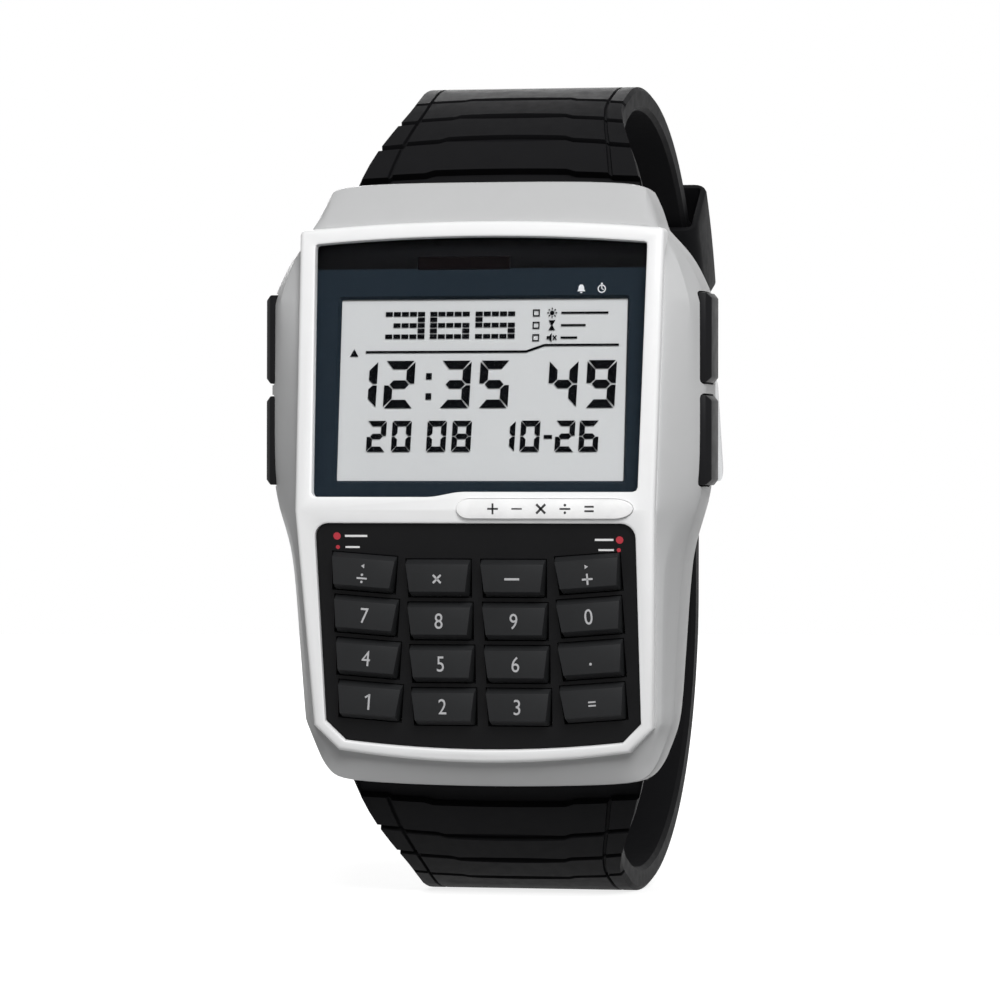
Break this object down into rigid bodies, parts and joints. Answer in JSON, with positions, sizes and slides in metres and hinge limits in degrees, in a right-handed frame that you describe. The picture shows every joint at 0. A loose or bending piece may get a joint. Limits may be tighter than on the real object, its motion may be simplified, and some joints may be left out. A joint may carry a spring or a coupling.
{
  "type": "digital wristwatch",
  "caption": "Digital wristwatch with a calculator keypad below a bowed display, side pushers and a buckled rubber strap.",
  "frame": {"origin": "centre of the wrist opening, on the case's middle height", "axes": "+X to the 3 o'clock side, +Y from the dial into the wrist, +Z to the 12 o'clock side"},
  "size_m": [0.044, 0.0619, 0.0798],
  "materials": {
    "silver_case": "satin silver",
    "white_label": "printed",
    "window_glass": "polished",
    "dark_surround": "satin",
    "dark_red": "polished",
    "lcd": "polished",
    "lcd_ink": "flat",
    "clear_guide": "polished",
    "contact_rubber": "matte",
    "white_plastic": "moulded",
    "green_board": "solder mask",
    "steel": "brushed",
    "black_plastic": "moulded",
    "key_plastic": "moulded",
    "pusher_plastic": "moulded",
    "grey_rubber": "matte",
    "amber_film": "film",
    "brass": "satin",
    "black_rubber": "matte"
  },
  "bodies": {
    "case": {"case_shell": "silver_case", "bezel_frame": "silver_case", "badge_plate": "white_label", "window_glass": "window_glass", "display_surround": "dark_surround", "sensor_bar": "dark_red", "lcd_panel": "lcd", "lcd_figures": "lcd_ink", "light_guide": "clear_guide", "backlight_led": "clear_guide", "zebra_strips": "contact_rubber", "module_frame": "white_plastic", "main_board": "green_board", "battery_cell": "steel", "battery_clip": "steel", "keypad_plate": "black_plastic", "key_membrane": "grey_rubber", "keypad_board": "green_board", "board_ribbon": "amber_film", "clock_chip": "black_plastic", "quartz_can": "steel", "keypad_carrier": "white_plastic", "buzzer_disc": "brass", "case_back": "steel", "back_gasket": "black_rubber", "back_screws": "steel", "spring_bars": "steel", "pusher_springs": "steel", "pusher_seals": "black_rubber"},
    "key_divide_cap": {"key_divide": "key_plastic"},
    "key_times_cap": {"key_times": "key_plastic"},
    "key_minus_cap": {"key_minus": "key_plastic"},
    "key_plus_cap": {"key_plus": "key_plastic"},
    "key_7_cap": {"key_7": "key_plastic"},
    "key_8_cap": {"key_8": "key_plastic"},
    "key_9_cap": {"key_9": "key_plastic"},
    "key_0_cap": {"key_0": "key_plastic"},
    "key_4_cap": {"key_4": "key_plastic"},
    "key_5_cap": {"key_5": "key_plastic"},
    "key_6_cap": {"key_6": "key_plastic"},
    "key_point_cap": {"key_point": "key_plastic"},
    "key_1_cap": {"key_1": "key_plastic"},
    "key_2_cap": {"key_2": "key_plastic"},
    "key_3_cap": {"key_3": "key_plastic"},
    "key_equals_cap": {"key_equals": "key_plastic"},
    "pusher_upper_left_set": {"pusher_upper_left": "pusher_plastic", "clip_upper_left": "steel"},
    "pusher_lower_left_set": {"pusher_lower_left": "pusher_plastic", "clip_lower_left": "steel"},
    "pusher_upper_right_set": {"pusher_upper_right": "pusher_plastic", "clip_upper_right": "steel"},
    "pusher_lower_right_set": {"pusher_lower_right": "pusher_plastic", "clip_lower_right": "steel"},
    "short_strap": {"strap_upper": "black_rubber"},
    "long_strap": {"strap_lower": "black_rubber"},
    "buckle": {"buckle_frame": "steel", "buckle_bar": "steel"},
    "tongue": {"buckle_tongue": "steel"},
    "keeper": {"strap_keeper": "black_rubber"}
  },
  "joints": [
    {"name": "key_divide_press", "type": "slide", "parent": "case", "child": "key_divide_cap", "axis": [0, 0.9816, 0.1908], "range_m": [0, 0.0004], "stiffness_N_per_m": 1500, "springref_m": -0.0002},
    {"name": "key_times_press", "type": "slide", "parent": "case", "child": "key_times_cap", "axis": [0, 0.9816, 0.1908], "range_m": [0, 0.0004], "stiffness_N_per_m": 1500, "springref_m": -0.0002},
    {"name": "key_minus_press", "type": "slide", "parent": "case", "child": "key_minus_cap", "axis": [0, 0.9816, 0.1908], "range_m": [0, 0.0004], "stiffness_N_per_m": 1500, "springref_m": -0.0002},
    {"name": "key_plus_press", "type": "slide", "parent": "case", "child": "key_plus_cap", "axis": [0, 0.9816, 0.1908], "range_m": [0, 0.0004], "stiffness_N_per_m": 1500, "springref_m": -0.0002},
    {"name": "key_7_press", "type": "slide", "parent": "case", "child": "key_7_cap", "axis": [0, 0.9816, 0.1908], "range_m": [0, 0.0004], "stiffness_N_per_m": 1500, "springref_m": -0.0002},
    {"name": "key_8_press", "type": "slide", "parent": "case", "child": "key_8_cap", "axis": [0, 0.9816, 0.1908], "range_m": [0, 0.0004], "stiffness_N_per_m": 1500, "springref_m": -0.0002},
    {"name": "key_9_press", "type": "slide", "parent": "case", "child": "key_9_cap", "axis": [0, 0.9816, 0.1908], "range_m": [0, 0.0004], "stiffness_N_per_m": 1500, "springref_m": -0.0002},
    {"name": "key_0_press", "type": "slide", "parent": "case", "child": "key_0_cap", "axis": [0, 0.9816, 0.1908], "range_m": [0, 0.0004], "stiffness_N_per_m": 1500, "springref_m": -0.0002},
    {"name": "key_4_press", "type": "slide", "parent": "case", "child": "key_4_cap", "axis": [0, 0.9816, 0.1908], "range_m": [0, 0.0004], "stiffness_N_per_m": 1500, "springref_m": -0.0002},
    {"name": "key_5_press", "type": "slide", "parent": "case", "child": "key_5_cap", "axis": [0, 0.9816, 0.1908], "range_m": [0, 0.0004], "stiffness_N_per_m": 1500, "springref_m": -0.0002},
    {"name": "key_6_press", "type": "slide", "parent": "case", "child": "key_6_cap", "axis": [0, 0.9816, 0.1908], "range_m": [0, 0.0004], "stiffness_N_per_m": 1500, "springref_m": -0.0002},
    {"name": "key_point_press", "type": "slide", "parent": "case", "child": "key_point_cap", "axis": [0, 0.9816, 0.1908], "range_m": [0, 0.0004], "stiffness_N_per_m": 1500, "springref_m": -0.0002},
    {"name": "key_1_press", "type": "slide", "parent": "case", "child": "key_1_cap", "axis": [0, 0.9816, 0.1908], "range_m": [0, 0.0004], "stiffness_N_per_m": 1500, "springref_m": -0.0002},
    {"name": "key_2_press", "type": "slide", "parent": "case", "child": "key_2_cap", "axis": [0, 0.9816, 0.1908], "range_m": [0, 0.0004], "stiffness_N_per_m": 1500, "springref_m": -0.0002},
    {"name": "key_3_press", "type": "slide", "parent": "case", "child": "key_3_cap", "axis": [0, 0.9816, 0.1908], "range_m": [0, 0.0004], "stiffness_N_per_m": 1500, "springref_m": -0.0002},
    {"name": "key_equals_press", "type": "slide", "parent": "case", "child": "key_equals_cap", "axis": [0, 0.9816, 0.1908], "range_m": [0, 0.0004], "stiffness_N_per_m": 1500, "springref_m": -0.0002},
    {"name": "pusher_upper_left_press", "type": "slide", "parent": "case", "child": "pusher_upper_left_set", "axis": [1, 0, 0], "range_m": [0, 0.0008], "stiffness_N_per_m": 1200, "springref_m": -0.0006, "deforming": ["pusher_springs"]},
    {"name": "pusher_lower_left_press", "type": "slide", "parent": "case", "child": "pusher_lower_left_set", "axis": [1, 0, 0], "range_m": [0, 0.0008], "stiffness_N_per_m": 1200, "springref_m": -0.0006, "deforming": ["pusher_springs"]},
    {"name": "pusher_upper_right_press", "type": "slide", "parent": "case", "child": "pusher_upper_right_set", "axis": [-1, 0, 0], "range_m": [0, 0.0008], "stiffness_N_per_m": 1200, "springref_m": -0.0006, "deforming": ["pusher_springs"]},
    {"name": "pusher_lower_right_press", "type": "slide", "parent": "case", "child": "pusher_lower_right_set", "axis": [-1, 0, 0], "range_m": [0, 0.0008], "stiffness_N_per_m": 1200, "springref_m": -0.0006, "deforming": ["pusher_springs"]},
    {"name": "strap_upper_swing", "type": "hinge", "parent": "case", "child": "short_strap", "pos_m": [0, -0.0238, 0.0262], "axis": [1, 0, 0], "range_deg": [-0.6, 0.6], "stiffness_Nm_per_rad": 2},
    {"name": "strap_lower_swing", "type": "hinge", "parent": "case", "child": "long_strap", "pos_m": [0, -0.0238, -0.0262], "axis": [1, 0, 0], "range_deg": [-0.3872, 0.3872]},
    {"name": "buckle_swing", "type": "hinge", "parent": "short_strap", "child": "buckle", "pos_m": [0, 0.02195, 0.01], "axis": [1, 0, 0], "range_deg": [-3.26, 3.26]},
    {"name": "tongue_lift", "type": "hinge", "parent": "buckle", "child": "tongue", "pos_m": [0, 0.02195, 0.01], "axis": [1, 0, 0], "range_deg": [0, 5], "stiffness_Nm_per_rad": 0.01, "springref_deg": -5.73},
    {"name": "keeper_slide", "type": "slide", "parent": "short_strap", "child": "keeper", "axis": [0, -0.4848, 0.8746], "range_m": [-0.0012, 0.0012]}
  ],
  "couplings": [
    {"joint": "strap_lower_swing", "follows": "strap_upper_swing", "ratio": 0.6453},
    {"joint": "buckle_swing", "follows": "strap_upper_swing", "ratio": -5.4263}
  ]
}
